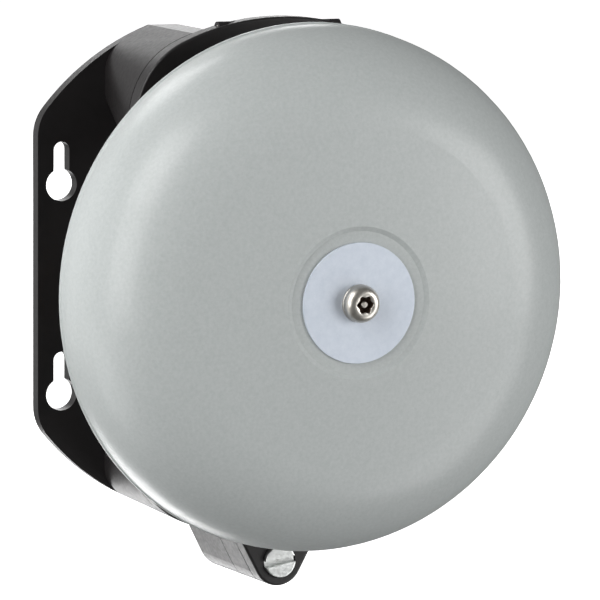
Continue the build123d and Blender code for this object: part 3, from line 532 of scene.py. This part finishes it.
def add_coil():
    turned("coil_winding", RIGHT,
           [(-21.84, 5.4), (-21.84, 11.2)] + wire_turns(-21.8, 12.8, 11.6, 0.62)
           + [(12.84, 11.2), (12.84, 5.4)], closed=True)
    turned("coil_bobbin", RIGHT,
           softened([(-23.4, 4.05), (-23.4, 12.5), (-21.9, 12.5), (-21.9, 5.3), (12.9, 5.3), (12.9, 12.5),
                     (14.4, 12.5), (14.4, 4.05)], 0.45, closed=True), closed=True)
    turned("coil_core", RIGHT,
           softened([(-25.5, 0), (-25.5, 6.5), (-23.5, 6.5), (-23.5, 4.0), (14.5, 4.0), (14.5, 0)], 0.35))
    turned("coil_screw", RIGHT,
           [(4.5, 0), (4.5, 1.5), (5.0, 1.8)] + thread(5.1, 16.6, 2.0, 0.7)
           + [(17.0, 1.9)] + hex_rings(17.0, 19.8, 4.0, both=False) + [(19.8, 0)])
    turned("pivot_pin", FORWARD,
           softened([(39.7, 0), (39.7, 1.5), (66.6, 1.5), (66.6, 1.2), (67.3, 1.2), (67.3, 1.5), (68.5, 1.5),
                     (68.5, 0)], 0.25))


def add_contact_parts():
    knob = knurled(3.6, 32, 0.16)
    turned("contact_screw", RIGHT,
           [(-53.0, 0), (-53.0, 3.0), (-52.9, 3.2), (-52.6, knob), (-50.4, knob), (-50.1, 3.2), (-50.0, 3.0),
            (-50.0, 1.8)] + thread(-49.8, -32.1, 2.0, 0.5)
           + softened([(-31.9, 1.8), (-31.9, 1.5), (-31.3, 1.5), (-31.3, 0)], 0.25))
    turned("contact_lock_nut", RIGHT,
           [(-39.0, 2.02), (-41.2, 2.02)] + hex_rings(-41.2, -39.0, 4.0), closed=True)


add_fixings()
add_gong_fixings()
add_coil()
add_contact_parts()


# ---------------------------------------------------------------- studio
def softbox(name, place, side, radiance):
    """Square light that faces the bell; radiance 1 is the tone of white paper."""
    data = bpy.data.lights.new(name, "AREA")
    data.size = side
    data.energy = radiance * pi * side ** 2
    light = bpy.data.objects.new(name, data)
    light.location = place
    light.rotation_mode = "QUATERNION"
    light.rotation_quaternion = (LIGHT_AIM - place).to_track_quat("-Z", "Y")
    light.visible_camera = False
    scene.collection.objects.link(light)


# Name, azimuth and elevation in degrees, side and radiance of each square light.
# Azimuth 0 is in front of the bell, -90 on its left and 180 behind the wall.
# Eight directions, four strengths and SKY come from a scratch fit to the photo's tones, rounded.
LIGHTS = (
    ("left_high", -70, 40, 0.9, 7.0),
    ("left", -70, 5, 0.9, 5.0),
    ("left_low", -100, -30, 0.9, 2.0),
    ("right_front", 50, 5, 0.9, 6.0),
    ("right_low", 50, -30, 0.9, 3.0),
    ("back_left", -130, 5, 1.6, 1.0),
    ("back_high", -165, 40, 0.6, 5.0),
    ("back_right", 165, 10, 0.6, 4.0),
    ("back_low", 180, -35, 0.6, 5.0),
)
LIGHT_DISTANCE = 1.7
LIGHT_AIM = Vector((0.0, -0.05, 0.0))
SKY = 0.15
ROOM = 6.0
FLOOR_GAP = 0.06
FLOOR_GLOW = 0.95


def add_studio():
    for name, azimuth, elevation, side, radiance in LIGHTS:
        turn, rise = radians(azimuth), radians(elevation)
        towards = Vector((sin(turn) * cos(rise), -cos(turn) * cos(rise), sin(rise)))
        softbox(name, LIGHT_AIM + LIGHT_DISTANCE * towards, side, radiance)

    world = bpy.data.worlds.new("studio")
    world.use_nodes = True
    background = world.node_tree.nodes["Background"]
    background.inputs["Color"].default_value = (1.0, 1.0, 1.0, 1.0)
    background.inputs["Strength"].default_value = SKY
    scene.world = world
    scene.view_settings.view_transform = "Standard"

    white = bpy.data.materials.new("pale_floor")
    white.use_nodes = True
    shader = white.node_tree.nodes["Principled BSDF"]
    shader.inputs["Base Color"].default_value = (0.85, 0.85, 0.85, 1.0)
    shader.inputs["Roughness"].default_value = 0.9
    shader.inputs["Emission Color"].default_value = (1.0, 1.0, 1.0, 1.0)
    shader.inputs["Emission Strength"].default_value = FLOOR_GLOW
    lowest = cad_box[0].z
    mesh = bpy.data.meshes.new("floor")
    level = lowest - FLOOR_GAP
    corners = [(x, y, height) for height in (level, level + ROOM)
               for x, y in ((-ROOM, -ROOM), (ROOM, -ROOM), (ROOM, ROOM), (-ROOM, ROOM))]
    mesh.from_pydata(corners, [], [(0, 1, 2, 3), (0, 1, 5, 4), (1, 2, 6, 5), (2, 3, 7, 6), (3, 0, 4, 7)])
    mesh.materials.append(white)
    floor = bpy.data.objects.new("floor", mesh)
    floor.visible_diffuse = False
    floor.visible_glossy = False
    floor.visible_shadow = False
    scene.collection.objects.link(floor)


add_camera()
add_studio()
